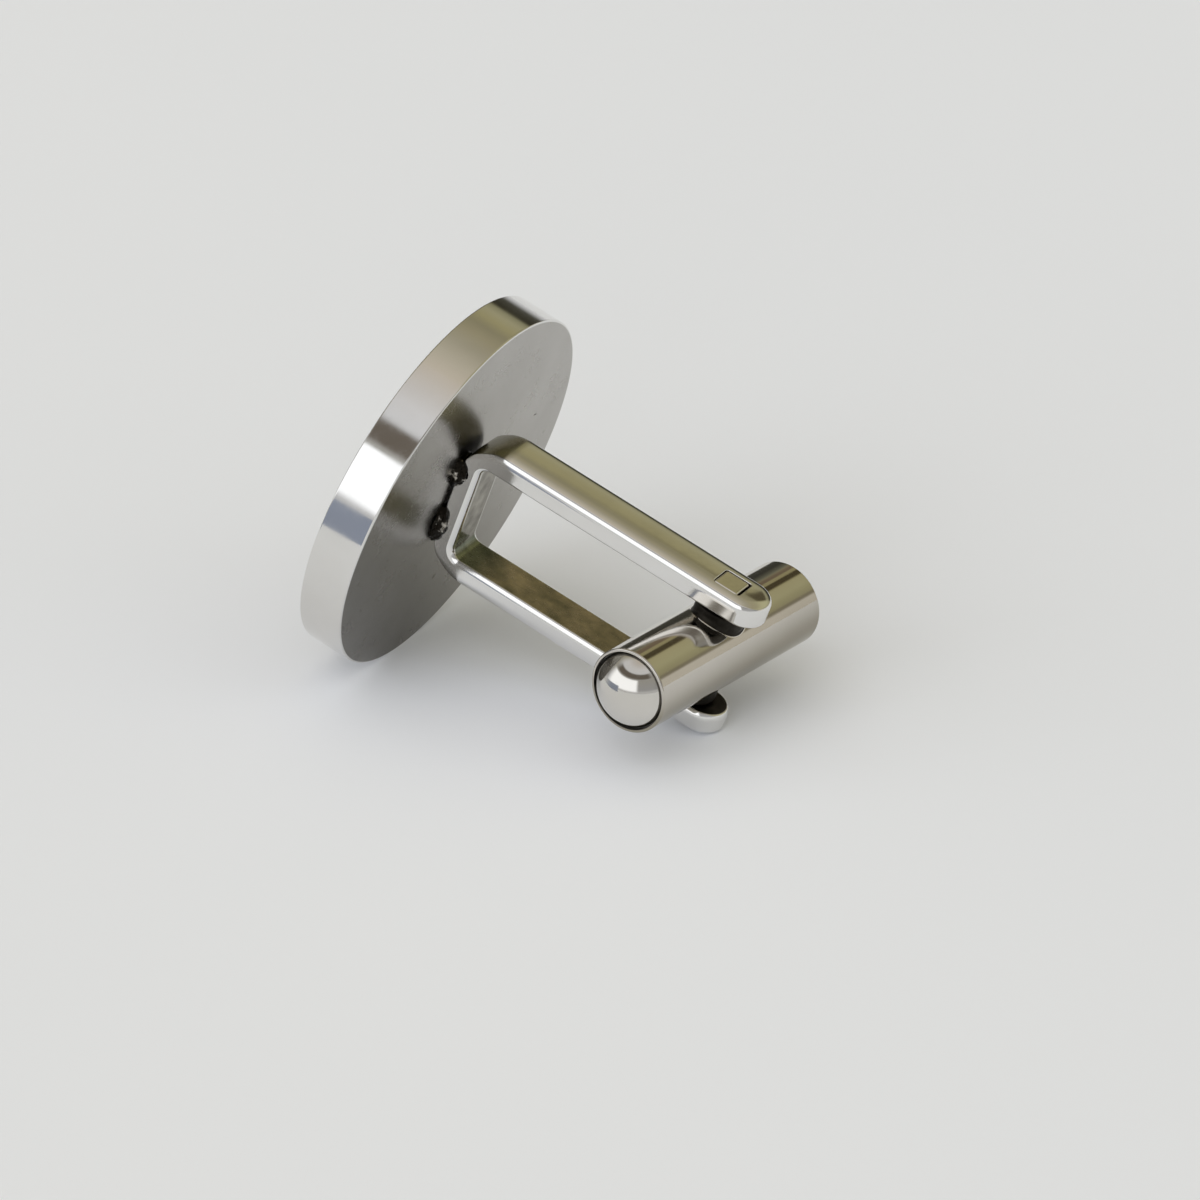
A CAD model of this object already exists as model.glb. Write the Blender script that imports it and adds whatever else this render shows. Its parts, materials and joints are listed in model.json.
import json
import math

import bmesh
import bpy
import numpy as np
from mathutils import Matrix, Vector, geometry, noise


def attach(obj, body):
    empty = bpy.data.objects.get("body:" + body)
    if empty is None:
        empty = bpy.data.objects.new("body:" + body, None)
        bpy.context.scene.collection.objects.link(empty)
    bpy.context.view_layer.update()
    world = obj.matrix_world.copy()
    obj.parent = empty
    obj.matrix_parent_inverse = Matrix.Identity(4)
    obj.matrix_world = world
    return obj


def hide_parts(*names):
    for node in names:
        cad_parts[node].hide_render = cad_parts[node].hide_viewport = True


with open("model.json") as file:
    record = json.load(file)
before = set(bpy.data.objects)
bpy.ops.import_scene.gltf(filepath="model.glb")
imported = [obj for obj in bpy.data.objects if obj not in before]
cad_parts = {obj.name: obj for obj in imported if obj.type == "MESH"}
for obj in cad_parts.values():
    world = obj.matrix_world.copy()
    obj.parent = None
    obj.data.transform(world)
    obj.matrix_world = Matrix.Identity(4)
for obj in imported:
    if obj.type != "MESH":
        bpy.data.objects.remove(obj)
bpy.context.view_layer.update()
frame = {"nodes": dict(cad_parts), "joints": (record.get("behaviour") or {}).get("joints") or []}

# Cufflink with a swivel bullet back. Lengths are in millimetres in the post's own axes:
# x from the head to the toggle, z from the lower arm to the upper arm, y along the toggle.
MM = 0.001
HEAD_R, HEAD_T, HEAD_BACK_R, HEAD_FRONT_R = 10.0, 2.5, 0.10, 0.10
WELD_GAP, STRAP_T, STRAP_W, ARM_GAP, ARM_L = 0.15, 1.10, 2.60, 5.65, 17.50
BEND_R, FRAME_OFFSET, ARM_EXTRA = 0.55, 0.13, 0.24
PIVOT_X, BAR_A, BAR_R, HOLE_PLAY, HOLE_EXTRA = 15.20, 1.40, 0.15, 0.01, 0.12
BARREL_R, BORE_R, BARREL_HL, BARREL_END_R = 2.20, 1.75, 6.80, 0.10
MOUTH_R, MOUTH_DEPTH = 2.05, 0.40
COLLAR_R, COLLAR_PLAY, COLLAR_ROOT_R, COLLAR_TOP_R, PIVOT_HOLE_R = 1.35, 0.08, 0.28, 0.10, 0.975
DOME_H, DOME_R, DOME_EDGE_R, PLUG_SEAT, PLUG_LAND, SPIGOT_R, SPIGOT_L = 1.10, 1.98, 0.50, 0.39, 0.08, 1.745, 1.60
LEAF_T, LEAF_H, LEAF_NEAR, LEAF_END, LEAF_HALF_L, SLOT_PLAY = 0.22, 2.20, 0.80, 0.93, 6.20, 0.02
NUGGET_UPPER, NUGGET_LOWER = (-0.70, 2.00), (-1.05, -1.15)
TOGGLE_TURN = -6.0

joint = frame["joints"][0]
axis = Vector(joint["axis"]).normalized()
pivot = Vector(joint["pos_m"])
TILT = math.atan2(axis.x, axis.z)
RY = Matrix.Rotation(TILT, 4, "Y")
HEAD = Matrix.Translation(pivot - (RY @ Vector((PIVOT_X, 0, FRAME_OFFSET))) * MM) @ RY
POST = HEAD @ Matrix.Translation((0, 0, FRAME_OFFSET * MM))
TOGGLE = POST @ Matrix.Translation((PIVOT_X * MM, 0, 0)) @ Matrix.Rotation(math.radians(TOGGLE_TURN), 4, "Z")


# ------------------------------------------------------------------ mesh tools
class Build:
    """Collects vertices and faces with a normal at each corner."""

    def __init__(self):
        self.v, self.f, self.n, self.m = [], [], [], []

    def vert(self, p):
        self.v.append(tuple(float(c) for c in p))
        return len(self.v) - 1

    def face(self, ids, normals, mat=0):
        keep = [k for k in range(len(ids)) if ids[k] != ids[k - 1]]
        ids = [ids[k] for k in keep]
        normals = [np.asarray(normals[k], float) for k in keep]
        if len(ids) < 3:
            return
        p = [np.array(self.v[i]) for i in ids]
        area = sum(np.cross(p[k - 1], p[k]) for k in range(len(p)))
        if np.dot(area, sum(normals)) < 0:
            ids, normals = ids[::-1], normals[::-1]
        self.f.append(ids)
        self.n.append(normals)
        self.m.append(mat)

    def grid(self, rows, normals, closed=True, mat=0):
        """Quads between neighbouring rows of vertex numbers, with a normal per vertex in each row."""
        for a, b, na, nb in zip(rows, rows[1:], normals, normals[1:]):
            count = len(a)
            for k in range(count if closed else count - 1):
                j = (k + 1) % count
                self.face([a[k], a[j], b[j], b[k]], [na[k], na[j], nb[j], nb[k]], mat)

    def object(self, name, place, body, slot, replaced, materials):
        me = bpy.data.meshes.new(name)
        me.from_pydata([Vector(p) * MM for p in self.v], [], self.f)
        for mat in materials:
            me.materials.append(mat)
        me.polygons.foreach_set("material_index", self.m)
        me.polygons.foreach_set("use_smooth", [True] * len(me.polygons))
        me.transform(place)
        turn = np.array(place.to_3x3())
        flat = np.array([c for face in self.n for c in face]) @ turn.T
        flat /= np.maximum(np.linalg.norm(flat, axis=1, keepdims=True), 1e-12)
        me.normals_split_custom_set(flat.tolist())
        ob = bpy.data.objects.new(name, me)
        bpy.context.scene.collection.objects.link(ob)
        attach(ob, body)
        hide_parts(replaced)
        return ob


def lathe(build, strips, axis_name, segments, mats=None):
    """Turns strips of profile points (along, radius, n_along, n_radius) about an axis. Strips meet end to end."""
    rings = {}

    def ring(a, r):
        key = (round(a, 5), round(r, 5))
        if key not in rings:
            if r < 1e-6:
                rings[key] = [build.vert(place(a, 0, 0))] * segments
            else:
                rings[key] = [build.vert(place(a, r * math.cos(t), r * math.sin(t))) for t in angles]
        return rings[key]

    def place(a, p, q):
        return (a, p, q) if axis_name == "x" else (p, a, q)

    angles = [2 * math.pi * k / segments for k in range(segments)]
    for i, strip in enumerate(strips):
        rows = [ring(p[0], p[1]) for p in strip]
        normals = [[place(p[2], p[3] * math.cos(t), p[3] * math.sin(t)) for t in angles] for p in strip]
        build.grid(rows, normals, True, 0 if mats is None else mats[i])


def arc_strip(ca, cr, rad, a0, a1, count, sign=1):
    """Profile arc about (ca, cr): angle 0 points along the axis, 90 degrees points outward."""
    out = []
    for k in range(count + 1):
        t = math.radians(a0 + (a1 - a0) * k / count)
        out.append((ca + rad * math.cos(t), cr + rad * math.sin(t), sign * math.cos(t), sign * math.sin(t)))
    return out


def line_strip(a, b, normal, count=1):
    return [(a[0] + (b[0] - a[0]) * k / count, a[1] + (b[1] - a[1]) * k / count, *normal) for k in range(count + 1)]


# ------------------------------------------------------------------ node tools
class Nodes:
    """Short calls for building a node tree."""

    def __init__(self, tree):
        self.tree = tree
        tree.nodes.clear()

    def add(self, kind, **values):
        node = self.tree.nodes.new(kind)
        for key, value in values.items():
            setattr(node, key, value)
        return node

    def link(self, a, b):
        self.tree.links.new(a, b)

    def math(self, op, a, b=None, c=None, clamp=False):
        node = self.add("ShaderNodeMath", operation=op, use_clamp=clamp)
        for socket, value in zip(node.inputs, (a, b, c)):
            if value is None:
                continue
            if isinstance(value, (int, float)):
                socket.default_value = value
            else:
                self.link(value, socket)
        return node.outputs[0]

    def ramp(self, fac, stops, mode="LINEAR"):
        node = self.add("ShaderNodeValToRGB")
        node.color_ramp.interpolation = mode
        items = node.color_ramp.elements
        while len(items) < len(stops):
            items.new(0.5)
        for item, (at, colour) in zip(items, sorted(stops, key=lambda s: s[0])):
            item.position = at
            c = colour if isinstance(colour, (tuple, list)) else (colour,) * 3
            item.color = (*c, 1)
        self.link(fac, node.inputs[0])
        return node.outputs[0]

    def remap(self, value, a0, a1, b0, b1, smooth=False):
        node = self.add("ShaderNodeMapRange", interpolation_type="SMOOTHSTEP" if smooth else "LINEAR")
        for k, x in enumerate((a0, a1, b0, b1)):
            node.inputs[k + 1].default_value = x
        self.link(value, node.inputs[0])
        return node.outputs[0]

    def noise(self, where, scale, detail=2.0, rough=0.5):
        node = self.add("ShaderNodeTexNoise")
        node.inputs["Scale"].default_value = scale
        node.inputs["Detail"].default_value = detail
        node.inputs["Roughness"].default_value = rough
        self.link(where, node.inputs["Vector"])
        return node.outputs[0]

    def mix(self, fac, a, b, blend="MIX"):
        node = self.add("ShaderNodeMix", data_type="RGBA", blend_type=blend)
        for socket, value in ((node.inputs[0], fac), (node.inputs[6], a), (node.inputs[7], b)):
            if isinstance(value, (int, float)):
                socket.default_value = value
            elif isinstance(value, (tuple, list)):
                socket.default_value = (*value, 1)
            else:
                self.link(value, socket)
        return node.outputs[2]


def part_axes(n):
    """Position on the piece in the post's own axes, in metres."""
    coord = n.add("ShaderNodeTexCoord")
    turn = n.add("ShaderNodeMapping", vector_type="POINT")
    back = HEAD.inverted()
    turn.inputs["Location"].default_value = back.translation
    turn.inputs["Rotation"].default_value = back.to_euler()
    n.link(coord.outputs["Object"], turn.inputs["Vector"])
    return turn.outputs[0]


def stretched(n, where, scale):
    node = n.add("ShaderNodeMapping", vector_type="POINT")
    node.inputs["Scale"].default_value = scale
    n.link(where, node.inputs["Vector"])
    return node.outputs[0]


def steel(name, light, dark, rough, wave_um=1.0, wave_per_m=700, pits=0.0, grain=None, grain_um=0.0,
          blotch_per_m=260, fine_um=0.0, dulled=None, stops=(0.30, 0.70)):
    """Stainless steel: cloudy tone, uneven polish, a slight waviness, sparse pits and an optional grain.
    dulled gives two points in the post's axes, in millimetres, between which the tone falls, and the tone left."""
    mat = bpy.data.materials.new(name)
    mat.use_nodes = True
    n = Nodes(mat.node_tree)
    out = n.add("ShaderNodeOutputMaterial")
    bsdf = n.add("ShaderNodeBsdfPrincipled")
    n.link(bsdf.outputs[0], out.inputs[0])
    bsdf.inputs["Metallic"].default_value = 1.0
    where = part_axes(n)
    cloud = n.noise(where, blotch_per_m, 4.0, 0.55)
    tone = n.ramp(cloud, [(stops[0], dark), (stops[1], light)])
    speck = n.noise(where, 5200.0, 3.0, 0.6)
    rough_base = n.remap(n.noise(where, blotch_per_m * 1.7, 3.0, 0.6), 0.3, 0.7, rough[0], rough[1])
    rough_fine = n.remap(speck, 0.35, 0.75, 0.0, (rough[1] - rough[0]) * 0.6)
    roughness = n.math("ADD", rough_base, rough_fine)
    height = n.math("MULTIPLY", n.noise(where, wave_per_m, 2.0, 0.45), wave_um * 1e-6)
    if fine_um:
        height = n.math("ADD", height, n.math("MULTIPLY", n.noise(where, 9000.0, 3.0, 0.6), fine_um * 1e-6))
    if grain is not None:
        lines = n.noise(stretched(n, where, grain), 1.0, 4.0, 0.65)
        height = n.math("ADD", height, n.math("MULTIPLY", lines, grain_um * 1e-6))
        tone = n.mix(n.remap(lines, 0.35, 0.7, 0.0, 0.22), tone, dark)
    if dulled is not None:
        start, end, left = Vector(dulled[0]) * MM, Vector(dulled[1]) * MM, dulled[2]
        line = end - start
        along = n.add("ShaderNodeVectorMath", operation="DOT_PRODUCT")
        along.inputs[1].default_value = line / line.length_squared
        n.link(where, along.inputs[0])
        begin = start.dot(line) / line.length_squared
        fall = n.remap(along.outputs["Value"], begin, begin + 1.0, 0.0, 1.0, True)
        tone = n.mix(fall, tone, n.mix(1.0, tone, left, "MULTIPLY"))
    if pits:
        cells = n.add("ShaderNodeTexVoronoi", feature="F1")
        cells.inputs["Scale"].default_value = 620.0
        n.link(where, cells.inputs["Vector"])
        chance = n.math("GREATER_THAN", n.noise(where, 190.0, 1.0, 0.5), 0.60)
        dot = n.math("MULTIPLY", n.remap(cells.outputs["Distance"], 0.03, pits, 1.0, 0.0, True), chance)
        tone = n.mix(dot, tone, (0.03, 0.028, 0.022))
        roughness = n.math("ADD", roughness, n.math("MULTIPLY", dot, 0.4))
        height = n.math("SUBTRACT", height, n.math("MULTIPLY", dot, 8e-6))
    bump = n.add("ShaderNodeBump")
    bump.inputs["Strength"].default_value = 1.0
    bump.inputs["Distance"].default_value = 1.0
    n.link(height, bump.inputs["Height"])
    n.link(tone, bsdf.inputs["Base Color"])
    n.link(roughness, bsdf.inputs["Roughness"])
    n.link(bump.outputs[0], bsdf.inputs["Normal"])
    return mat


POLISH = (0.82, 0.815, 0.80)
POLISH_DARK = (0.77, 0.76, 0.74)
rim_steel = steel("rim_steel", POLISH, POLISH_DARK, (0.05, 0.11), 0.7, 600, pits=0.12,
                  dulled=((0, -10.0, 0.5), (0, -9.0, -4.5), (0.88, 0.87, 0.855)))
back_steel = steel("back_steel", (0.50, 0.487, 0.467), (0.44, 0.426, 0.405), (0.20, 0.27), 0.5, 500,
                   grain=(700, 700, 9000), grain_um=0.12, fine_um=0.12, pits=0.16,
                   dulled=((0, 3.0, 5.0), (0, -6.5, -6.5), (0.37, 0.355, 0.325)))
face_steel = steel("face_steel", POLISH, POLISH_DARK, (0.30, 0.38), 0.5, 450,
                   grain=(900, 900, 14000), grain_um=0.25)
post_steel = steel("post_steel", POLISH, POLISH_DARK, (0.06, 0.12), 1.0, 800)
inner_steel = steel("inner_steel", (0.62, 0.53, 0.42), (0.21, 0.20, 0.155), (0.16, 0.28), 1.4, 900,
                    grain=(300, 6000, 6000), grain_um=0.4, blotch_per_m=750, fine_um=0.3,
                    dulled=((4.2, 0, 0), (1.9, 0, 0), (0.46, 0.56, 0.52)))
bar_steel = steel("bar_steel", (0.84, 0.82, 0.77), (0.74, 0.72, 0.67), (0.06, 0.12), 1.2, 1500, fine_um=0.1)
bend_steel = steel("bend_steel", POLISH, POLISH_DARK, (0.08, 0.15), 1.2, 900,
                   dulled=((2.55, 0, 0), (1.95, 0, 0), (0.34, 0.325, 0.245)))
web_steel = steel("web_steel", (0.46, 0.44, 0.40), (0.16, 0.15, 0.125), (0.12, 0.24), 2.5, 1500,
                  blotch_per_m=1300, fine_um=0.4)
barrel_steel = steel("barrel_steel", (0.64, 0.61, 0.56), (0.60, 0.57, 0.52), (0.05, 0.10), 0.9, 700,
                     dulled=((16.67, 0, 1.76), (17.39, 0, -0.10), (0.54, 0.52, 0.46)))
plug_steel = steel("plug_steel", (0.70, 0.68, 0.64), (0.66, 0.64, 0.60), (0.05, 0.10), 0.9, 900)
bore_steel = steel("bore_steel", (0.45, 0.43, 0.40), (0.30, 0.285, 0.26), (0.25, 0.40), 1.5, 1200, fine_um=0.5)
leaf_steel = steel("leaf_steel", (0.52, 0.51, 0.48), (0.40, 0.39, 0.36), (0.18, 0.30), 0.8, 900,
                   grain=(6000, 400, 6000), grain_um=0.4)
crevice_steel = steel("crevice_steel", (0.10, 0.093, 0.08), (0.035, 0.031, 0.025), (0.22, 0.38), 2.0, 1800,
                      blotch_per_m=900, fine_um=0.6)
collar_steel = steel("collar_steel", (0.045, 0.041, 0.034), (0.018, 0.016, 0.013), (0.40, 0.60), 2.0, 1800,
                     blotch_per_m=900, fine_um=0.6)
mouth_steel = steel("mouth_steel", (0.30, 0.29, 0.275), (0.20, 0.19, 0.178), (0.28, 0.45), 2.0, 1800,
                    blotch_per_m=900, fine_um=0.5)
weld_steel = steel("weld_steel", (0.70, 0.66, 0.58), (0.014, 0.012, 0.009), (0.08, 0.20), 16.0, 1700,
                   blotch_per_m=1500, stops=(0.56, 0.66))

# ------------------------------------------------------------------ head disc
b = Build()
R, T = HEAD_R, HEAD_T
back_flat = line_strip((0, 0), (0, R - HEAD_BACK_R), (1, 0), 6)
back_rim = arc_strip(-HEAD_BACK_R, R - HEAD_BACK_R, HEAD_BACK_R, 0, 90, 8)
side = line_strip((-HEAD_BACK_R, R), (-T + HEAD_FRONT_R, R), (0, 1), 4)
front_rim = arc_strip(-T + HEAD_FRONT_R, R - HEAD_FRONT_R, HEAD_FRONT_R, 90, 180, 12)
front_flat = line_strip((-T, R - HEAD_FRONT_R), (-T, 0), (-1, 0), 6)
lathe(b, [back_flat, back_rim, side, front_rim, front_flat], "x", 360, [1, 0, 0, 0, 2])
head = b.object("head_disc_turned", HEAD, "link", "head_steel", "head_disc", [rim_steel, back_steel, face_steel])

# ------------------------------------------------------------------ post frame, a bent strip
zi = ARM_GAP / 2
zo = zi + STRAP_T
zm = (zi + zo) / 2
ro = BEND_R + STRAP_T
rm = BEND_R + STRAP_T / 2
arm = ARM_L - (WELD_GAP + ro)
turn_len = rm * math.pi / 2
web = 2 * (zo - ro)
total = 2 * arm + 2 * turn_len + web
half_w = STRAP_W / 2


def strip_frame(s):
    """Point, forward direction and outward direction of the strip's middle line, from the lower tip to the upper."""
    if s <= arm:
        return np.array((ARM_L - s, 0, -zm)), np.array((-1.0, 0, 0)), np.array((0, 0, -1.0))
    if s <= arm + turn_len:
        a = math.radians(270) - (s - arm) / rm
        c = (WELD_GAP + ro, -zo + ro)
    elif s <= arm + turn_len + web:
        q = s - arm - turn_len
        return np.array((WELD_GAP + STRAP_T / 2, 0, -zo + ro + q)), np.array((0, 0, 1.0)), np.array((-1.0, 0, 0))
    elif s <= arm + 2 * turn_len + web:
        a = math.radians(180) - (s - arm - turn_len - web) / rm
        c = (WELD_GAP + ro, zo - ro)
    else:
        q = s - arm - 2 * turn_len - web
        return np.array((WELD_GAP + ro + q, 0, zm)), np.array((1.0, 0, 0)), np.array((0, 0, 1.0))
    out = np.array((math.cos(a), 0, math.sin(a)))
    return np.array((c[0] + rm * out[0], 0, c[1] + rm * out[2])), np.array((out[2], 0, -out[0])), out


hole_s = ARM_L - PIVOT_X                      # distance of each hole from its tip
zone = hole_s + 1.25                          # the tip zone that holds the hole
stations = sorted({half_w, zone, *np.linspace(zone, arm, 12), *np.linspace(arm, arm + turn_len, 21),
                   *np.linspace(arm + turn_len, arm + turn_len + web, 7),
                   *np.linspace(arm + turn_len + web, arm + 2 * turn_len + web, 21),
                   *np.linspace(arm + 2 * turn_len + web, total - zone, 12), total - half_w,
                   arm - 0.8, arm - 0.4, total - arm + 0.8, total - arm + 0.4,
                   *np.linspace(half_w, zone, 5), *np.linspace(total - zone, total - half_w, 5)})
clean = [stations[0]]
for s in stations[1:]:
    if s - clean[-1] > 1e-6:
        clean.append(s)
stations = clean
TIP = 40


def outline():
    """Closed outline of the flat strip: (s, outward s, outward y), where s is the place before the tip's rounding."""
    pts = [(s, 0.0, 1.0) for s in stations]
    for k in range(1, TIP):
        t = math.pi / 2 - math.pi * k / TIP
        pts.append((total - half_w, math.cos(t), math.sin(t)))
    pts += [(s, 0.0, -1.0) for s in reversed(stations)]
    for k in range(1, TIP):
        t = -math.pi / 2 - math.pi * k / TIP
        pts.append((half_w, math.cos(t), math.sin(t)))
    return pts


def web_part(s):
    """0 on the arms, 1 on the web, and in between on the bends."""
    w = min(max((min(s, total - s) - arm) / turn_len, 0.0), 1.0)
    return w * w * (3 - 2 * w)


class Section:
    """Half of a broad face by distance from the middle line: slightly crowned, running into a corner of one or more arcs.
    turns lists the tilt at the end of an arc, in degrees, and the radius of the arc; the last arc fills up the width."""

    def __init__(self, ys, tilts, turns=()):
        self.start = ys[-1]
        self.y = np.linspace(0, self.start, 191)
        self.a = np.radians(np.interp(self.y, ys, tilts))
        slope = np.tan(self.a)
        self.sag = np.concatenate([[0], np.cumsum((slope[1:] + slope[:-1]) / 2 * np.diff(self.y))])
        self.arcs = []
        y, sag, a = self.start, self.sag[-1], self.a[-1]
        for end, rad in [(math.radians(e), r) for e, r in turns] + [(math.pi / 2, None)]:
            if rad is None:
                rad = (half_w - y) / (1 - math.sin(a))
            self.arcs.append((a, end, rad, y, sag))
            y += rad * (math.sin(end) - math.sin(a))
            sag += rad * (math.cos(a) - math.cos(end))
            a = end

    def face(self, d):
        """Drop and tilt at distance d."""
        return np.array((np.interp(d, self.y, self.sag), np.interp(d, self.y, self.a)))

    def corner(self, w):
        """Distance, drop and tilt at part w of the corner."""
        k = min(int(w * len(self.arcs)), len(self.arcs) - 1)
        a0, a1, rad, y, sag = self.arcs[k]
        a = a0 + (a1 - a0) * (w * len(self.arcs) - k)
        return np.array((y + rad * (math.sin(a) - math.sin(a0)), sag + rad * (math.cos(a0) - math.cos(a)), a))


def arm_extra(s):
    """How much further out the outer face lies than on the web."""
    e = min(max((0.45 - (min(s, total - s) - arm) / turn_len) / 0.65, 0.0), 1.0)
    return ARM_EXTRA * e * e * (3 - 2 * e)


def skin_frame(s):
    """Forward and outward directions of the outer face."""
    def point(q):
        c, _, out = strip_frame(min(max(q, 0), total))
        return c + out * (STRAP_T / 2 + arm_extra(q))
    forward = point(s + 0.01) - point(s - 0.01)
    size = np.linalg.norm(forward)
    if size < 1e-6 or s < 0.02 or s > total - 0.02:
        _, forward, out = strip_frame(min(max(s, 0), total))
        return forward, out
    forward = forward / size
    out = np.array((-forward[2], 0, forward[0]))
    if np.dot(out, strip_frame(s)[2]) < 0:
        out = -out
    return forward, out


NEAR = Section([0.0, 0.3, 0.6, 0.8, 0.95, 1.12], [0.0, 2.0, 6.0, 12.0, 19.0, 27.0], ((55, 0.15), (74, 0.62)))
FAR = Section([0.0, 0.3, 0.6, 0.8, 0.95, 1.12], [0.0, 0.8, 2.5, 4.5, 8.0, 15.0])
WEB = Section([0.0, 0.5, half_w - 0.08], [0.0, 0.0, 0.0])
LOWER_INNER = Section([0.0, 0.5, 1.105], [0.0, 0.0, 0.0], ((55, 0.10), (74, 0.65)))
UPPER_INNER = Section([0.0, 0.5, half_w - 0.15], [0.0, 0.0, 0.0])
WEB_INNER = Section([0.0, 0.5, half_w - 0.36], [0.0, 0.0, 0.0])
LAST_Y = 0.83                                 # the crown is a grid up to here and a set of outlines beyond


def blend(near, far, web, ey, s):
    """Value between the sections of the near edge, the far edge and the web."""
    g, w = (1 + ey) / 2, web_part(s)
    return (near * (1 - g) + far * g) * (1 - w) + web * w


def crown(d, ey=1.0, s=0.0):
    """Drop below the middle line and tilt of the outer face, at distance d from the middle line."""
    return blend(NEAR.face(d), FAR.face(d), WEB.face(d), ey, s)


b = Build()


def on_strip(s, y, n, outer):
    c, _, out = strip_frame(min(max(s, 0), total))
    return c + np.array((0, y, 0)) + out * (n + (arm_extra(s) if outer else 0.0))


def loop_of(section, outer):
    """Vertices and normals of an outline. section gives distance from the middle line, height and lift of the normal."""
    ids, normals = [], []
    for s, es, ey in outline():
        d, n, lift = section(ey, s)
        forward, out = skin_frame(s) if outer else strip_frame(s)[1:]
        ids.append(b.vert(on_strip(s + d * es, d * ey, n, outer)))
        normals.append((forward * es + np.array((0, ey, 0))) * math.cos(lift) + out * math.sin(lift))
    return ids, normals


def face_section(w):
    def at(ey, s):
        d = LAST_Y + (blend(NEAR.start, FAR.start, WEB.start, ey, s) - LAST_Y) * w
        sag, tilt = crown(d, ey, s)
        return d, h - sag, math.pi / 2 - tilt
    return at


def corner_section(w):
    def at(ey, s):
        d, sag, tilt = blend(NEAR.corner(w), FAR.corner(w), WEB.corner(w), ey, s)
        return d, h - sag, math.pi / 2 - tilt
    return at


def inner_section(w):
    def at(ey, s):
        part = web_part(s)
        edge = LOWER_INNER if s < total / 2 else UPPER_INNER
        d, drop, tilt = edge.corner(1 - w) * (1 - part) + WEB_INNER.corner(1 - w) * part
        return d, -h + drop, tilt - math.pi / 2
    return at


h = STRAP_T / 2
loops = [loop_of(face_section(w), True) for w in (0.0, 0.34, 0.67)]
loops += [loop_of(corner_section(k / 12), True) for k in range(13)]
loops += [loop_of(inner_section(k / 12), False) for k in range(13)]


def behind(s):
    """True on the web and the nearer part of each bend, which face the head."""
    return arm + 0.72 * turn_len < s < total - arm - 0.72 * turn_len


def round_bend(s):
    """True on the bends, the web and the ends of the arms beside them."""
    return arm - 0.8 < s < total - arm + 0.8


line_s = [p[0] for p in outline()]
for i in range(len(loops) - 1):
    (ia, na), (ib, nb) = loops[i], loops[i + 1]
    for k in range(len(ia)):
        j = (k + 1) % len(ia)
        mid_s = (line_s[k] + line_s[j]) / 2
        mat = 2 if i < 3 and behind(mid_s) else 4 if i < 7 and round_bend(mid_s) else 0
        b.face([ia[k], ia[j], ib[j], ib[k]], [na[k], na[j], nb[j], nb[k]], mat)

count = len(stations)
first = stations.index(min(stations, key=lambda s: abs(s - zone)))
last = stations.index(min(stations, key=lambda s: abs(s - (total - zone))))


def far_side(k):
    """Place in an outline of the point at station k on the other edge."""
    return count + TIP - 1 + (count - 1 - k)


def hole_loop(centre, half, rad, n, lift, extra, crowned, corner=7):
    """Rounded outline of the pivot hole, longer towards the tip, with normals into the hole at the given lift angle."""
    ids, normals = [], []
    for q in range(4):
        for k in range(corner):
            t = math.radians(90 * q + 90 * k / (corner - 1))
            mid = math.radians(90 * q + 45)
            cs = (half - rad) * (1 if math.cos(mid) > 0 else -1)
            if cs * extra > 0:
                cs += extra
            cy = (half - rad) * (1 if math.sin(mid) > 0 else -1)
            s, y = centre + cs + rad * math.cos(t), cy + rad * math.sin(t)
            _, forward, out = strip_frame(s)
            sag, tilt = crown(abs(y), math.copysign(1, y), s) if crowned else (0.0, 0.0)
            ids.append(b.vert(on_strip(s, y, n - sag, crowned)))
            face_n = out * math.cos(tilt) + np.array((0, math.copysign(math.sin(tilt), y), 0))
            inward = -(forward * math.cos(t) + np.array((0, math.sin(t), 0)))
            normals.append(inward * math.cos(lift) + face_n * math.sin(lift))
    return ids, normals


def crown_point(s, y):
    """Vertex and normal on the crowned outer face."""
    forward, out = skin_frame(s)
    q = min(s, total - s)
    if q < half_w:
        es, ey = (half_w - q) * (1 if s > half_w else -1), y
    else:
        es, ey = 0.0, y
    d = math.hypot(es, ey)
    sag, tilt = crown(d, ey / max(d, 1e-9), s)
    side = (forward * es + np.array((0, ey, 0))) / max(d, 1e-9)
    return b.vert(on_strip(s, y, h - sag, True)), out * math.cos(tilt) + side * math.sin(tilt)


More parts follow.
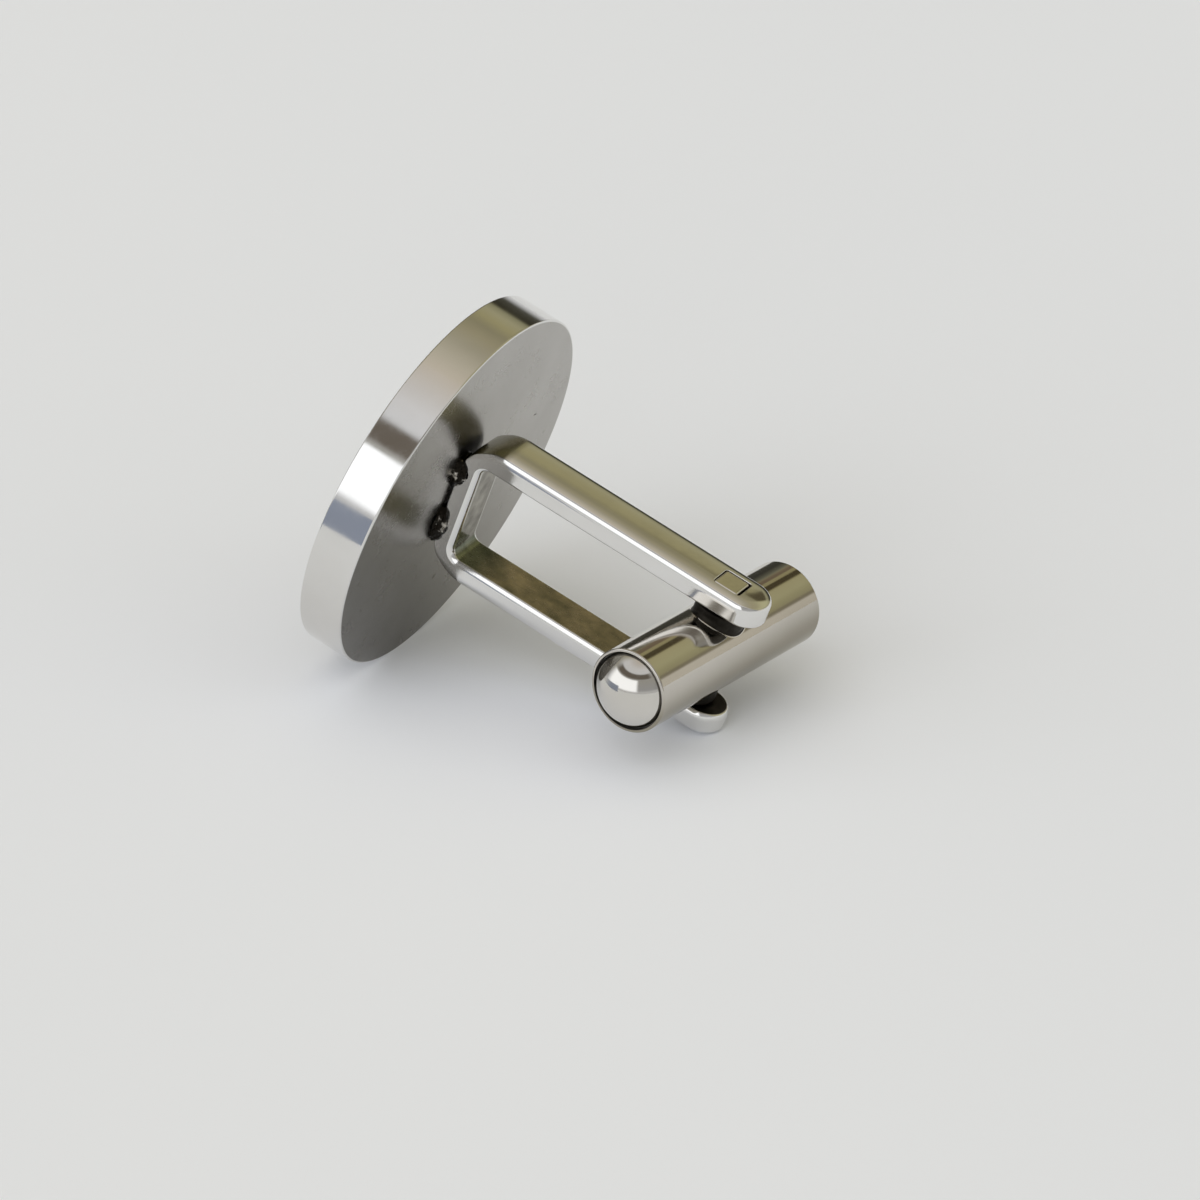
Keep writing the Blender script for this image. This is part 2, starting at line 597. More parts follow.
hole_half = BAR_A / 2 + HOLE_PLAY
LEAD = 0.04
COLS = 12
walls = {}
for top, sign in ((loops[0][0], 1), (loops[-1][0], -1)):
    vert_n = {}
    if sign > 0:
        for i, q in zip(*loops[0]):
            vert_n[i] = q
    rows = {}
    for k in range(first, last + 1):
        row = [top[k]]
        if sign > 0:
            for c in range(1, COLS):
                v, q = crown_point(stations[k], LAST_Y * (1 - 2 * c / COLS))
                vert_n[v] = q
                row.append(v)
        row.append(top[far_side(k)])
        rows[k] = row
        for v in row:
            if v not in vert_n:
                vert_n[v] = strip_frame(stations[k])[2] * sign
    # between the tip zones
    for k in range(first, last):
        mid_s = (stations[k] + stations[k + 1]) / 2
        if sign < 0:
            mat = 3 if web_part(mid_s) > 0.9 else 1
        else:
            mat = 2 if behind(mid_s) else 4 if round_bend(mid_s) else 0
        ra, rb = rows[k], rows[k + 1]
        for c in range(len(ra) - 1):
            ids = [ra[c], rb[c], rb[c + 1], ra[c + 1]]
            out = [strip_frame(stations[i])[2] * sign for i in (k, k + 1, k + 1, k)]
            b.face(ids, [vert_n[i] for i in ids] if sign > 0 else out, mat)
    # each tip zone, with its hole
    for end in (0, 1):
        centre, extra = (hole_s, -HOLE_EXTRA) if end == 0 else (total - hole_s, HOLE_EXTRA)
        if end == 0:
            ring = [top[far_side(k)] for k in range(first, -1, -1)] + top[2 * count + TIP - 1:]
            ring += [top[k] for k in range(0, first + 1)] + rows[first][1:-1]
        else:
            ring = [top[k] for k in range(last, count)] + top[count:count + TIP - 1]
            ring += [top[far_side(k)] for k in range(count - 1, last - 1, -1)] + rows[last][1:-1][::-1]
        free = []
        if sign > 0:
            edge = []
            for k in range(6):
                a = math.radians(90 - 90 * k / 5)
                grow = LEAD - LEAD * math.cos(a)
                edge.append(hole_loop(centre, hole_half + grow, BAR_R + HOLE_PLAY + grow,
                                      h - LEAD + LEAD * math.sin(a), a, extra, True))
            b.grid([e[0] for e in edge], [e[1] for e in edge], True, 0)
            walls[end] = edge[-1]
            hole = edge[0][0]
            for i, q in zip(*edge[0]):
                vert_n[i] = q
            for ks in range(1, 24):
                q = zone * ks / 24
                for ky in range(-7, 8):
                    y = 0.1 * ky
                    d = math.hypot(half_w - q, y) if q < half_w else abs(y)
                    in_hole = abs(q - hole_s + HOLE_EXTRA / 2) < hole_half + HOLE_EXTRA / 2 + LEAD + 0.05
                    if d < LAST_Y - 0.05 and not in_hole and q < zone - 0.05:
                        v, nn = crown_point(q if end == 0 else total - q, y)
                        vert_n[v] = nn
                        free.append(v)
        else:
            floor_loop = hole_loop(centre, hole_half, BAR_R + HOLE_PLAY, -h, 0.0, extra, False)
            wall_ids, wall_n = walls[end]
            b.grid([wall_ids, floor_loop[0]], [wall_n, floor_loop[1]], True, 1)
            hole = floor_loop[0]

        def flat(i):
            return Vector(b.v[i][:2])
        ids = list(ring) + list(hole) + free
        m, q = len(ring), len(hole)
        edges = [(k, (k + 1) % m) for k in range(m)] + [(m + k, m + (k + 1) % q) for k in range(q)]
        _, _, tris, orig, _, _ = geometry.delaunay_2d_cdt([flat(i) for i in ids], edges, [], 1, 1e-7)
        back = [o[0] for o in orig]
        level = strip_frame(centre)[2] * sign
        for tri in tris:
            corner = [back[k] for k in tri]
            if all(m <= k < m + q for k in corner):
                continue
            use = [ids[k] for k in corner]
            b.face(use, [vert_n[i] for i in use] if sign > 0 else [level] * 3, 0 if sign > 0 else 2)
post = b.object("post_frame_bent", POST, "link", "post_steel", "post_frame", [post_steel, inner_steel, crevice_steel, web_steel, bend_steel])

# ------------------------------------------------------------------ toggle barrel with its two drawn collars
b = Build()
STEP = 48                                    # divisions of each side of the patch round a collar
PATCH_A, PATCH_Y = math.radians(60), 2.2
patch_a = [(-1 + 2 * k / STEP) * PATCH_A for k in range(STEP + 1)]
patch_y = [(-1 + 2 * k / STEP) * PATCH_Y for k in range(STEP + 1)]
N = 4 * STEP


def square_walk():
    """Points round the patch's border in angle round the barrel and in y, matched to the angle round the collar."""
    walk = []
    for k in range(STEP):
        walk.append((STEP, k))
    for k in range(STEP):
        walk.append((STEP - k, STEP))
    for k in range(STEP):
        walk.append((0, STEP - k))
    for k in range(STEP):
        walk.append((k, 0))
    return walk


WALK = square_walk()
collar_z = zi - COLLAR_PLAY
side_y = [PATCH_Y + (BARREL_HL - BARREL_END_R - PATCH_Y) * k / 8 for k in range(9)]
all_y = [-y for y in reversed(side_y)][:-1] + patch_y + side_y[1:]
bore_side = [PATCH_Y + (BARREL_HL - MOUTH_DEPTH - PATCH_Y) * k / 8 for k in range(9)]
bore_y = [-y for y in reversed(bore_side)][:-1] + patch_y + bore_side[1:]
side_a = [PATCH_A + (math.pi - 2 * PATCH_A) * k / 24 for k in range(25)]      # between the two patches


def shell(radius, outward):
    """Vertex numbers on a tube wall by (angle key, y key). Angles are measured from +z towards +x."""
    cache = {}

    def at(a, y):
        key = (round(a % (2 * math.pi), 6) % 6.283185, round(y, 6))
        if key not in cache:
            cache[key] = b.vert((radius * math.sin(a), y, radius * math.cos(a)))
        return cache[key]

    def normal(a):
        return np.array((math.sin(a), 0, math.cos(a))) * (1 if outward else -1)
    return at, normal


def wall(radius, outward, mat, ys):
    at, normal = shell(radius, outward)

    def quad(a0, a1, y0, y1):
        b.face([at(a0, y0), at(a1, y0), at(a1, y1), at(a0, y1)],
               [normal(a0), normal(a1), normal(a1), normal(a0)], mat)
    for turn in (0, math.pi):
        for a0, a1 in zip(side_a, side_a[1:]):
            for y0, y1 in zip(ys, ys[1:]):
                quad(a0 + turn, a1 + turn, y0, y1)
        for a0, a1 in zip(patch_a, patch_a[1:]):
            for y0, y1 in zip(ys, ys[1:]):
                if y0 < -PATCH_Y - 1e-6 or y1 > PATCH_Y + 1e-6:
                    quad(a0 + turn, a1 + turn, y0, y1)
    return at, normal


outer_at, outer_n = wall(BARREL_R, True, 0, all_y)
inner_at, inner_n = wall(BORE_R, False, 1, bore_y)

for sgn in (1, -1):
    turn = 0 if sgn > 0 else math.pi
    # angle round the collar for each border point
    phis = []
    for i, j in WALK:
        phis.append(math.atan2(patch_y[j] / PATCH_Y, patch_a[i] / PATCH_A))
    rcf, rbf, rf = COLLAR_R + COLLAR_ROOT_R, BARREL_R + COLLAR_ROOT_R, COLLAR_ROOT_R

    def put(p, nrm):
        """A point of the upper collar, turned over for the lower one."""
        p, nrm = np.array(p, float), np.array(nrm, float)
        if sgn < 0:
            p, nrm = p * (-1, 1, -1), nrm * (-1, 1, -1)
        return b.vert(p), nrm

    centres = [np.array((rcf * math.cos(f), rcf * math.sin(f), math.sqrt(rbf ** 2 - (rcf * math.cos(f)) ** 2))) for f in phis]
    # tube wall between the patch border and the foot of the collar
    border = [outer_at(patch_a[i] + turn, patch_y[j]) for i, j in WALK]
    border_n = [outer_n(patch_a[i] + turn) for i, j in WALK]
    rows, norms = [border], [border_n]
    RINGS = 6
    for ring_k in range(1, RINGS + 1):
        w = ring_k / RINGS
        ids, nn = [], []
        for (i, j), c in zip(WALK, centres):
            a_foot = math.atan2(c[0], c[2])
            a = patch_a[i] * (1 - w) + a_foot * w
            y = patch_y[j] * (1 - w) + c[1] * w
            v, q = put((BARREL_R * math.sin(a), y, BARREL_R * math.cos(a)), (math.sin(a), 0, math.cos(a)))
            ids.append(v)
            nn.append(q)
        rows.append(ids)
        norms.append(nn)
    # rolling-ball fillet up to the collar
    ARC = 10
    for k in range(1, ARC + 1):
        ids, nn = [], []
        for f, c in zip(phis, centres):
            d0 = -np.array((c[0], 0, c[2])) / rbf
            d1 = -np.array((math.cos(f), math.sin(f), 0))
            ang = math.acos(max(-1, min(1, float(np.dot(d0, d1)))))
            w = k / ARC
            d = (d0 * math.sin((1 - w) * ang) + d1 * math.sin(w * ang)) / math.sin(ang)
            v, q = put(c + d * rf, -d)
            ids.append(v)
            nn.append(q)
        rows.append(ids)
        norms.append(nn)
    # collar wall, its rounded edge and its top
    for z, rad, lift in [(collar_z - COLLAR_TOP_R, COLLAR_R, 0)] + [
            (collar_z - COLLAR_TOP_R + COLLAR_TOP_R * math.sin(math.radians(15 * k)),
             COLLAR_R - COLLAR_TOP_R + COLLAR_TOP_R * math.cos(math.radians(15 * k)), math.radians(15 * k)) for k in range(1, 7)]:
        ids, nn = [], []
        for f in phis:
            v, q = put((rad * math.cos(f), rad * math.sin(f), z),
                       (math.cos(f) * math.cos(lift), math.sin(f) * math.cos(lift), math.sin(lift)))
            ids.append(v)
            nn.append(q)
        rows.append(ids)
        norms.append(nn)
    # polished up to the root, left dark where the polishing wheel does not reach
    edge = RINGS + 3
    b.grid(rows[:edge + 1], norms[:edge + 1], True, 0)
    b.grid(rows[edge:], norms[edge:], True, 2)
    rim = rows[-1]
    ids = [put((PIVOT_HOLE_R * math.cos(f), PIVOT_HOLE_R * math.sin(f), collar_z), (0, 0, 1))[0] for f in phis]
    up = [np.array((0, 0, sgn))] * N
    b.grid([rim, ids], [up, up], True, 2)
    # pivot hole down to the bore, and the bore round it
    low, into = [], []
    for f in phis:
        x = PIVOT_HOLE_R * math.cos(f)
        v, q = put((x, PIVOT_HOLE_R * math.sin(f), math.sqrt(BORE_R ** 2 - x ** 2)), (-math.cos(f), -math.sin(f), 0))
        low.append(v)
        into.append(q)
    b.grid([ids, low], [into, into], True, 1)
    inner_border = [inner_at(patch_a[i] + turn, patch_y[j]) for i, j in WALK]
    inner_border_n = [inner_n(patch_a[i] + turn) for i, j in WALK]
    rows, norms = [inner_border], [inner_border_n]
    for ring_k in range(1, 4):
        w = ring_k / 4
        rid, rn = [], []
        for (i, j), f in zip(WALK, phis):
            a_foot = math.asin(PIVOT_HOLE_R * math.cos(f) / BORE_R)
            a = patch_a[i] * (1 - w) + a_foot * w
            y = patch_y[j] * (1 - w) + PIVOT_HOLE_R * math.sin(f) * w
            v, q = put((BORE_R * math.sin(a), y, BORE_R * math.cos(a)), (-math.sin(a), 0, -math.cos(a)))
            rid.append(v)
            rn.append(q)
        rows.append(rid)
        norms.append(rn)
    last_n = []
    for f in phis:
        a = math.asin(PIVOT_HOLE_R * math.cos(f) / BORE_R)
        last_n.append(np.array((-math.sin(a) * sgn, 0, -math.cos(a) * sgn)))
    rows.append(low)
    norms.append(last_n)
    b.grid(rows, norms, True, 1)

# the tube's two ends: rounded outer edge, narrow flat ring, counterbored mouth
ring_a = patch_a + side_a[1:-1] + [a + math.pi for a in patch_a] + [a + math.pi for a in side_a[1:-1]]
for sgn in (1, -1):
    y_in = sgn * (BARREL_HL - BARREL_END_R)
    rows = [[outer_at(a, y_in) for a in ring_a]]
    norms = [[outer_n(a) for a in ring_a]]
    for k in range(1, 9):
        t = math.radians(90 * k / 8)
        rad = BARREL_R - BARREL_END_R + BARREL_END_R * math.cos(t)
        y = y_in + sgn * BARREL_END_R * math.sin(t)
        rows.append([b.vert((rad * math.sin(a), y, rad * math.cos(a))) for a in ring_a])
        norms.append([np.array((math.sin(a) * math.cos(t), sgn * math.sin(t), math.cos(a) * math.cos(t))) for a in ring_a])
    b.grid(rows, norms, True, 0)
    mouth = [b.vert((MOUTH_R * math.sin(a), sgn * BARREL_HL, MOUTH_R * math.cos(a))) for a in ring_a]
    out = [np.array((0, sgn, 0))] * len(ring_a)
    b.grid([rows[-1], mouth], [out, out], True, 0)
    # counterbored mouth, dull, down to its shoulder and in to the bore
    seat = sgn * (BARREL_HL - MOUTH_DEPTH)
    foot = [b.vert((MOUTH_R * math.sin(a), seat, MOUTH_R * math.cos(a))) for a in ring_a]
    into = [np.array((-math.sin(a), 0, -math.cos(a))) for a in ring_a]
    b.grid([mouth, foot], [into, into], True, 3)
    b.grid([foot, [inner_at(a, seat) for a in ring_a]], [out, out], True, 3)
barrel = b.object("toggle_barrel_drawn", TOGGLE, "toggle", "toggle_steel", "toggle_barrel",
                  [barrel_steel, bore_steel, collar_steel, mouth_steel])


# ------------------------------------------------------------------ end plugs, domed, with slots for the springs
def leaf_slot(sign):
    """Closed bowed strip, a little larger than a leaf spring, in millimetres."""
    grow, half, height = SLOT_PLAY, LEAF_HALF_L + 0.10, LEAF_H + 2 * SLOT_PLAY
    bow = LEAF_END - LEAF_NEAR
    rad = (half ** 2 + bow ** 2) / (2 * bow)
    rows = []
    for k in range(25):
        y = -half + 2 * half * k / 24
        mid = LEAF_NEAR + rad - math.sqrt(rad ** 2 - y ** 2)
        rows.append([(sign * (mid + dx), y, dz) for dx, dz in
                     ((-grow, -height / 2), (LEAF_T + grow, -height / 2), (LEAF_T + grow, height / 2), (-grow, height / 2))])
    verts = [p for row in rows for p in row]
    faces = [[4 * k + j, 4 * k + (j + 1) % 4, 4 * k + 4 + (j + 1) % 4, 4 * k + 4 + j] for k in range(24) for j in range(4)]
    faces += [[3, 2, 1, 0], [96, 97, 98, 99]]
    me = bpy.data.meshes.new("slot_cutter")
    me.from_pydata([Vector(p) * MM for p in verts], [], faces)
    bm = bmesh.new()
    bm.from_mesh(me)
    bmesh.ops.recalc_face_normals(bm, faces=bm.faces)
    bm.to_mesh(me)
    bm.free()
    me.transform(TOGGLE)
    ob = bpy.data.objects.new("slot_cutter", me)
    bpy.context.scene.collection.objects.link(ob)
    return ob


def end_plug(name, node, side):
    seat = -PLUG_SEAT
    foot = seat + PLUG_LAND
    rise = DOME_H - foot
    # crown that runs on smoothly from the rounded edge
    inset = DOME_R - DOME_EDGE_R
    rad = (rise ** 2 + inset ** 2 - DOME_EDGE_R ** 2) / (2 * (rise - DOME_EDGE_R))
    start = math.degrees(math.atan2(inset, rad - rise))
    strips = [
        line_strip((-SPIGOT_L, 0), (-SPIGOT_L, SPIGOT_R - 0.10), (-1, 0), 3),
        line_strip((-SPIGOT_L, SPIGOT_R - 0.10), (-SPIGOT_L + 0.10, SPIGOT_R), (-0.7071, 0.7071)),
        line_strip((-SPIGOT_L + 0.10, SPIGOT_R), (seat, SPIGOT_R), (0, 1), 3),
        line_strip((seat, SPIGOT_R), (seat, DOME_R), (-1, 0)),
        line_strip((seat, DOME_R), (foot, DOME_R), (0, 1)),
        arc_strip(foot, inset, DOME_EDGE_R, 90, start, 10),
        arc_strip(DOME_H - rad, 0, rad, start, 0, 30),
    ]
    strips[-2][0] = (foot, DOME_R, *strips[-2][0][2:])
    strips[-1][0] = (*strips[-2][-1][:2], *strips[-1][0][2:])
    b = Build()
    strips = [[(side * (BARREL_HL + p[0]), p[1], side * p[2], p[3]) for p in strip] for strip in strips]
    lathe(b, strips, "y", 144)
    ob = b.object(name, TOGGLE, "toggle", "plug_steel", node, [plug_steel])
    cutters = [leaf_slot(1), leaf_slot(-1)]
    for cutter in cutters:
        mod = ob.modifiers.new("slot", "BOOLEAN")
        mod.operation = "DIFFERENCE"
        mod.solver = "EXACT"
        mod.object = cutter
    bpy.context.view_layer.update()
    dg = bpy.context.evaluated_depsgraph_get()
    cut = bpy.data.meshes.new_from_object(ob.evaluated_get(dg))
    ob.modifiers.clear()
    old = ob.data
    ob.data = cut
    ob.data.name = name
    bpy.data.meshes.remove(old)
    for cutter in cutters:
        me = cutter.data
        bpy.data.objects.remove(cutter)
        bpy.data.meshes.remove(me)
    return ob


plug_near = end_plug("end_plug_near_domed", "end_plug_near", -1)
plug_far = end_plug("end_plug_far_domed", "end_plug_far", 1)


# ------------------------------------------------------------------ weld nuggets, squeezed out between head and web
def nugget(name, node, at, seed, bead):
    """A pad in the gap, and beside it a bead that stands up along the near edge of the strip."""
    b = Build()

    def wobble(p):
        p = Vector(p)
        return 0.10 * noise.noise(p * 1.1 + Vector((seed, 0, 0))) + 0.06 * noise.noise(p * 3.1 + Vector((0, seed, 0)))

    def shell(rows, poles):
        """Closed skin from rings of vertices and two poles, with normals away from the middle."""
        verts = np.array(b.v)
        middle = np.mean([verts[i] for row in rows for i in row], axis=0)
        normals = []
        for i, row in enumerate(rows):
            nn = []
            for k in range(len(row)):
                du = verts[row[(k + 1) % len(row)]] - verts[row[k - 1]]
                dv = verts[rows[min(i + 1, len(rows) - 1)][k]] - verts[rows[max(i - 1, 0)][k]]
                q = np.cross(du, dv)
                if np.dot(q, verts[row[k]] - middle) < 0:
                    q = -q
                nn.append(q / max(np.linalg.norm(q), 1e-12))
            normals.append(nn)
        b.grid(rows, normals, True)
        for (pole, nrm), row in zip(poles, (rows[0], rows[-1])):
            for k in range(len(row)):
                b.face([pole, row[k], row[(k + 1) % len(row)]], [nrm] * 3)

    seg, rings = 64, 12
    low, high = b.vert((0, 0, 0)), b.vert((WELD_GAP, 0, 0))
    rows = []
    for k in range(rings + 1):
        w = k / rings
        rad = 0.78 + 0.06 * math.sin(math.pi * w)
        rows.append([])
        for j in range(seg):
            t = 2 * math.pi * j / seg
            rr = rad + wobble((WELD_GAP * w * 8, math.cos(t) * 1.2, math.sin(t) * 1.2)) * 0.6
            rows[-1].append(b.vert((WELD_GAP * w, rr * math.cos(t), rr * math.sin(t))))
    shell(rows, ((low, (-1, 0, 0)), (high, (1, 0, 0))))

    # bead: a quarter of a lumpy egg between the head and the strip's near edge, closed by its two flat sides
    edge = -half_w - 0.012 - at[0]
    tall, wide, long_r, z0 = bead
    rows = []
    across = 28
    for k in range(1, 40):
        u = math.pi * k / 40
        ring = []
        for j in range(across + 1):
            f = math.pi / 2 * j / across
            swell = 1 + 1.6 * wobble((2 * math.cos(f), 2 * math.sin(f), 3.2 * math.cos(u)))
            ring.append(b.vert((max(tall * math.sin(u) * math.cos(f) * swell, 0.0),
                                edge - wide * math.sin(u) * math.sin(f) * swell, z0 + long_r * math.cos(u))))
        ring.append(b.vert((0, edge, z0 + long_r * math.cos(u))))
        rows.append(ring)
    ends = (b.vert((0, edge, z0 + long_r)), b.vert((0, edge, z0 - long_r)))
    rows = [[ends[0]] * (across + 2)] + rows + [[ends[1]] * (across + 2)]
    verts = np.array(b.v)
    normals = []
    for i, row in enumerate(rows):
        up, down = rows[max(i - 1, 0)], rows[min(i + 1, len(rows) - 1)]
        nn = []
        for j in range(across + 1):
            du = verts[row[min(j + 1, across)]] - verts[row[max(j - 1, 0)]]
            q = np.cross(du, verts[down[j]] - verts[up[j]])
            away = (math.cos(math.pi / 2 * j / across), -math.sin(math.pi / 2 * j / across), 0)
            if np.dot(q, away) < 0:
                q = -q
            size = np.linalg.norm(q)
            nn.append(q / size if size > 1e-12 else np.array((0, 0, 1.0 if i == 0 else -1.0)))
        normals.append(nn)
    b.grid([row[:across + 1] for row in rows], normals, False)
    for j, k, nrm in ((across, across + 1, (-1, 0, 0)), (across + 1, 0, (0, 1, 0))):
        for ra, rb in zip(rows, rows[1:]):
            b.face([ra[j], ra[k], rb[k], rb[j]], [nrm] * 4)
    place = HEAD @ Matrix.Translation((0, at[0] * MM, at[1] * MM))
    return b.object(name, place, "link", "weld_metal", node, [weld_steel])


nugget("weld_nugget_upper_bead", "weld_nugget_upper", NUGGET_UPPER, 3.7, (0.62, 0.40, 0.82, -0.05))
nugget("weld_nugget_lower_bead", "weld_nugget_lower", NUGGET_LOWER, 8.2, (0.58, 0.50, 1.10, -0.15))

# ------------------------------------------------------------------ pieces whose shape is already final
for node, mat, slot in (("pivot_bar", bar_steel, "pivot_steel"), ("detent_leaf_front", leaf_steel, "spring_steel"),
                        ("detent_leaf_rear", leaf_steel, "spring_steel")):
    ob = frame["nodes"][node]
    ob.data.materials.clear()
    ob.data.materials.append(mat)

# ------------------------------------------------------------------ floor
me = bpy.data.meshes.new("floor")
S = 6.0
me.from_pydata([(-S, -S, 0), (S, -S, 0), (S, S, 0), (-S, S, 0)], [], [(0, 1, 2, 3)])
floor = bpy.data.objects.new("floor", me)
bpy.context.scene.collection.objects.link(floor)
mat = bpy.data.materials.new("floor_paper")
mat.use_nodes = True
n = Nodes(mat.node_tree)
out = n.add("ShaderNodeOutputMaterial")
bsdf = n.add("ShaderNodeBsdfPrincipled")
n.link(bsdf.outputs[0], out.inputs[0])
bsdf.inputs["Roughness"].default_value = 0.9
bsdf.inputs["Specular IOR Level"].default_value = 0.0
coord = n.add("ShaderNodeTexCoord")
n.link(n.ramp(n.noise(coord.outputs["Object"], 9.0, 3.0, 0.5), [(0.3, (0.82, 0.838, 0.872)), (0.7, (0.84, 0.855, 0.885))]),
       bsdf.inputs["Base Color"])
me.materials.append(mat)

# ------------------------------------------------------------------ light: a soft room with a pale window low behind the viewer
world = bpy.data.worlds.new("soft_room")
bpy.context.scene.world = world
world.use_nodes = True
n = Nodes(world.node_tree)
out = n.add("ShaderNodeOutputWorld")
back = n.add("ShaderNodeBackground")
n.link(back.outputs[0], out.inputs[0])
coord = n.add("ShaderNodeTexCoord")
xyz = n.add("ShaderNodeSeparateXYZ")
n.link(coord.outputs["Generated"], xyz.inputs[0])
x, y, z = xyz.outputs
elev = n.math("ARCSINE", z)
height = n.remap(elev, -math.pi / 2, math.pi / 2, 0.0, 1.0)


def at(deg):
    return (deg + 90) / 180


FRONT = [(-3, 0.62), (2, (0.58, 0.58, 0.58)), (6, (0.30, 0.30, 0.29)), (9, (0.070, 0.067, 0.052)), (19, (0.036, 0.033, 0.022)), (21, (0.05, 0.045, 0.03)),
         (24, (0.26, 0.245, 0.15)), (30, (0.36, 0.335, 0.205)), (38, (0.345, 0.31, 0.165)), (46, (0.265, 0.24, 0.15)),
         (55, (0.33, 0.295, 0.19)), (66, (0.37, 0.34, 0.25)), (78, (0.48, 0.44, 0.345)), (89, (0.57, 0.51, 0.42))]
LEFT = [(-3, 0.62), (0, (0.13, 0.13, 0.115)), (6, (0.06, 0.058, 0.048)), (18, (0.05, 0.049, 0.04)),
        (24, (0.108, 0.107, 0.08)), (30, (0.19, 0.19, 0.145)), (35, (0.185, 0.15, 0.11)), (41, (0.33, 0.30, 0.165)),
        (47, (0.265, 0.24, 0.15)), (55, (0.33, 0.295, 0.19)), (66, (0.37, 0.34, 0.25)), (78, (0.48, 0.44, 0.345)),
        (89, (0.57, 0.51, 0.42))]
RIGHT = [(-3, (0.63, 0.60, 0.52)), (12, (0.63, 0.60, 0.52)), (14.5, (0.27, 0.245, 0.18)), (17.5, (0.25, 0.225, 0.155)),
         (20, (0.36, 0.335, 0.205)), (26, (0.40, 0.38, 0.225)), (32, (0.46, 0.44, 0.265)), (40, (0.45, 0.42, 0.25)),
         (47, (0.36, 0.33, 0.205)), (55, (0.35, 0.315, 0.20)), (66, (0.37, 0.34, 0.25)), (78, (0.48, 0.44, 0.345)),
         (89, (0.57, 0.51, 0.42))]
BACK = [(-3, 0.60), (0, (0.56, 0.56, 0.56)), (4, (0.56, 0.56, 0.56)), (9, (0.38, 0.38, 0.38)), (34, (0.38, 0.37, 0.34)), (41, (0.42, 0.41, 0.39)), (47, (0.56, 0.56, 0.56)), (54, (0.70, 0.70, 0.71)), (64, (0.70, 0.69, 0.69)),
        (75, (0.62, 0.59, 0.56)), (89, (0.57, 0.51, 0.43))]
front = n.ramp(height, [(at(d), c) for d, c in FRONT])
left_side = n.ramp(height, [(at(d), c) for d, c in LEFT])
right_side = n.ramp(height, [(at(d), c) for d, c in RIGHT])
rear = n.ramp(height, [(at(d), c) for d, c in BACK])
flat_len = n.math("MAXIMUM", n.math("SQRT", n.math("ADD", n.math("MULTIPLY", x, x), n.math("MULTIPLY", y, y))), 1e-4)
forward = n.math("DIVIDE", y, flat_len)
mixed = n.mix(n.remap(forward, -0.45, 0.45, 0.0, 1.0, True), rear, front)


def between(value, a0, a1, b0, b1):
    """1 from a1 to b0, fading to 0 at a0 and b1, in degrees."""
    rise = n.remap(value, math.radians(a0), math.radians(a1), 0.0, 1.0, True)
    return n.math("MULTIPLY", rise, n.remap(value, math.radians(b0), math.radians(b1), 1.0, 0.0, True))


# azimuth is measured from +y towards -x
azim = n.math("ARCTAN2", n.math("MULTIPLY", x, -1.0), y)
mixed = n.mix(between(azim, 17, 24, 60, 80), mixed, left_side)
mixed = n.mix(between(azim, -100, -75, -14, -8), mixed, right_side)
upright = n.math("MULTIPLY", between(azim, -11, -7, 3.2, 4.4), between(elev, 28, 31, 41, 44))
mixed = n.mix(upright, mixed, (0.08, 0.065, 0.035))
beside = n.math("MULTIPLY", between(azim, 10.5, 12.5, 19, 24), between(elev, 28, 33, 38, 41))
mixed = n.mix(beside, mixed, (0.19, 0.145, 0.10))
# a shelf and the window below it
azim = n.math("MODULO", n.math("ADD", azim, 2 * math.pi), 2 * math.pi)
shelf = n.math("MULTIPLY", between(azim, 100, 125, 235, 260), between(elev, 36.5, 39.5, 49, 52.5))
mixed = n.mix(shelf, mixed, (0.15, 0.128, 0.105))
left = n.remap(azim, math.radians(100), math.radians(125), 0.0, 1.0, True)
right = n.remap(azim, math.radians(196), math.radians(206), 1.0, 0.0, True)
low = n.remap(elev, math.radians(2), math.radians(7), 0.0, 1.0, True)
top = n.remap(elev, math.radians(33.5), math.radians(36), 1.0, 0.0, True)
window = n.math("MULTIPLY", n.math("MULTIPLY", left, right), n.math("MULTIPLY", low, top))
n.link(n.mix(window, mixed, (1.32, 1.34, 1.37)), back.inputs["Color"])


def soft_sun(name, towards, energy, angle, colour):
    """Very wide, soft sunlight from a direction, which polished metal does not mirror."""
    light = bpy.data.lights.new(name, "SUN")
    light.energy = energy
    light.angle = math.radians(angle)
    light.color = colour
    ob = bpy.data.objects.new(name, light)
    ob.rotation_mode = "QUATERNION"
    ob.rotation_quaternion = (-Vector(towards)).to_track_quat("-Z", "Y")
    ob.visible_glossy = False
    bpy.context.scene.collection.objects.link(ob)


soft_sun("soft_top", (0.0, -0.2, 1.0), 0.36, 100, (1.02, 1.0, 0.965))
soft_sun("soft_key", (0.05, -0.85, 0.52), 1.17, 60, (0.965, 0.985, 1.03))
soft_sun("soft_fill", (0.80, -0.45, 0.40), 0.66, 90, (0.965, 0.985, 1.03))

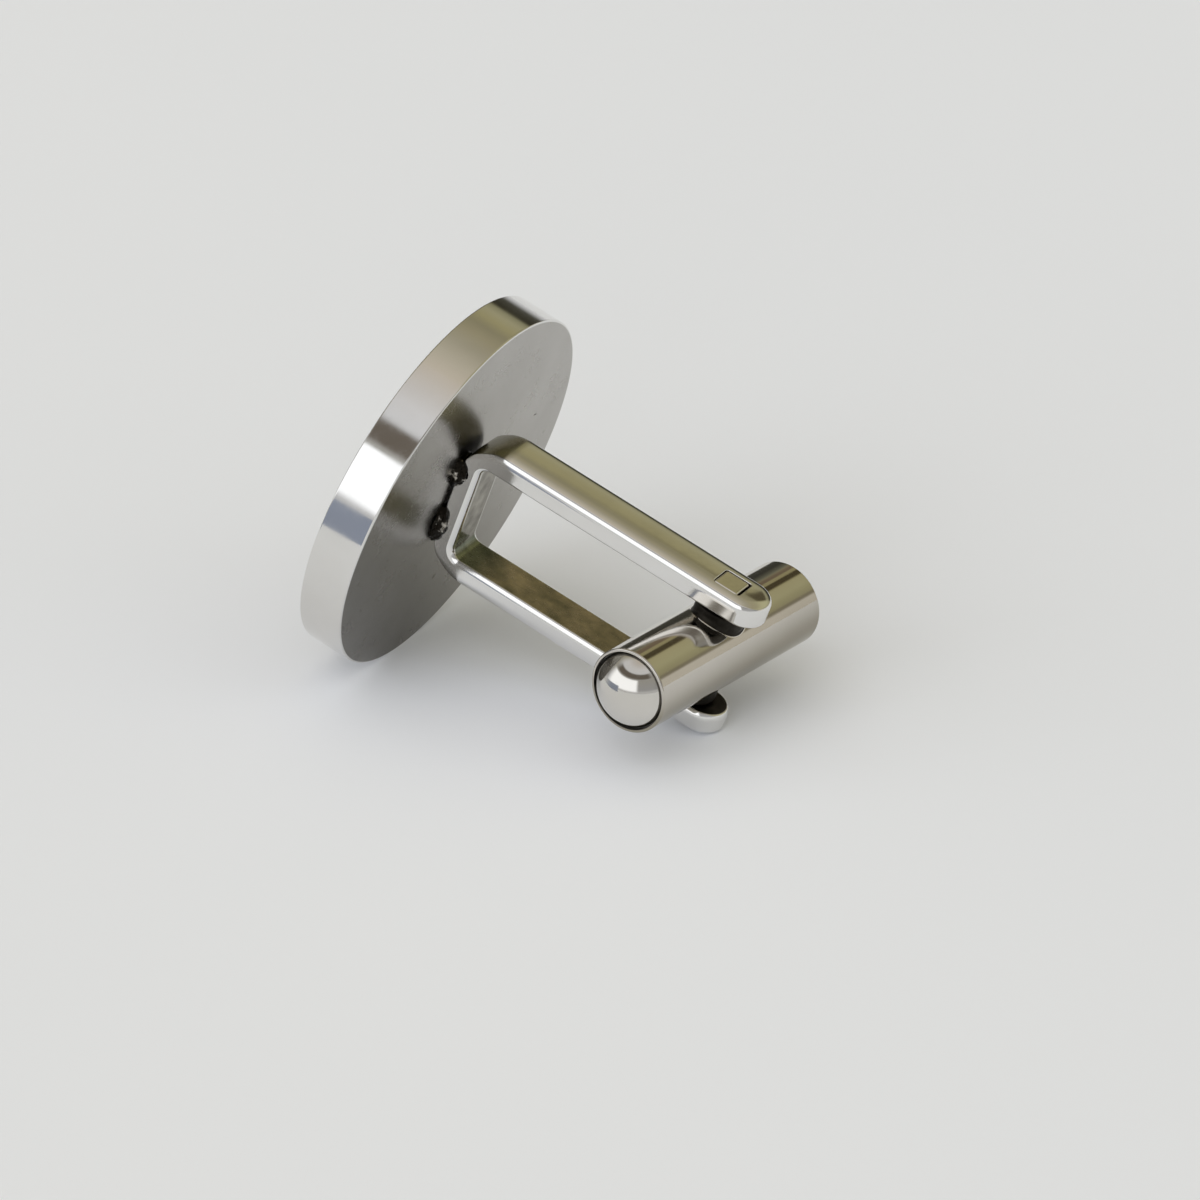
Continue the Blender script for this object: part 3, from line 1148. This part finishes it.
# a low card behind the viewer, dark at its near end and paler away from it, seen only in the polish
me = bpy.data.meshes.new("low_card")
mid, along, tall = Vector((-0.1300, -0.0097, 0)), Vector((0.94, -0.342, 0)) * 0.12, Vector((0, 0, 0.0130))
me.from_pydata([mid - along, mid + along, mid + along + tall, mid - along + tall], [], [(0, 1, 2, 3)])
card = bpy.data.objects.new("low_card", me)
bpy.context.scene.collection.objects.link(card)
mat = bpy.data.materials.new("card_dark")
mat.use_nodes = True
n = Nodes(mat.node_tree)
out = n.add("ShaderNodeOutputMaterial")
glow = n.add("ShaderNodeEmission")
n.link(glow.outputs[0], out.inputs[0])
place = n.add("ShaderNodeTexCoord")
parts = n.add("ShaderNodeSeparateXYZ")
n.link(place.outputs["Object"], parts.inputs[0])
away = n.remap(parts.outputs[0], -0.035, -0.085, 0.0, 1.0, True)
n.link(n.mix(away, (0.27, 0.30, 0.37), (0.58, 0.58, 0.57)), glow.inputs["Color"])
me.materials.append(mat)
card.visible_camera = False
card.visible_diffuse = False
card.visible_shadow = False
card.visible_transmission = False

# ------------------------------------------------------------------ camera, set by its place over the head
cam = bpy.data.cameras.new("camera")
cam.sensor_width = 36.0
cam.lens = 36.0 * 9975.08 / 1200.0
cam.clip_start, cam.clip_end = 0.01, 10.0
eye = bpy.data.objects.new("camera", cam)
look = Matrix.Rotation(math.radians(20.18715), 4, "Y").inverted() @ Vector((-0.44725, 0.78261, -0.43299))
stand = Matrix.Rotation(math.radians(20.18715), 4, "Y").inverted() @ Vector((0.23097457, -0.389794, 0.21163366))
up = Matrix.Rotation(math.radians(20.18715), 4, "Y").inverted() @ Vector((0, 0, 1))
back_dir = -look.normalized()
side_dir = up.cross(back_dir).normalized()
axes = Matrix((side_dir, back_dir.cross(side_dir), back_dir)).transposed().to_4x4()
eye.matrix_world = HEAD @ Matrix.Translation(stand) @ axes
bpy.context.scene.collection.objects.link(eye)
bpy.context.scene.camera = eye
bpy.context.scene.view_settings.view_transform = "Standard"
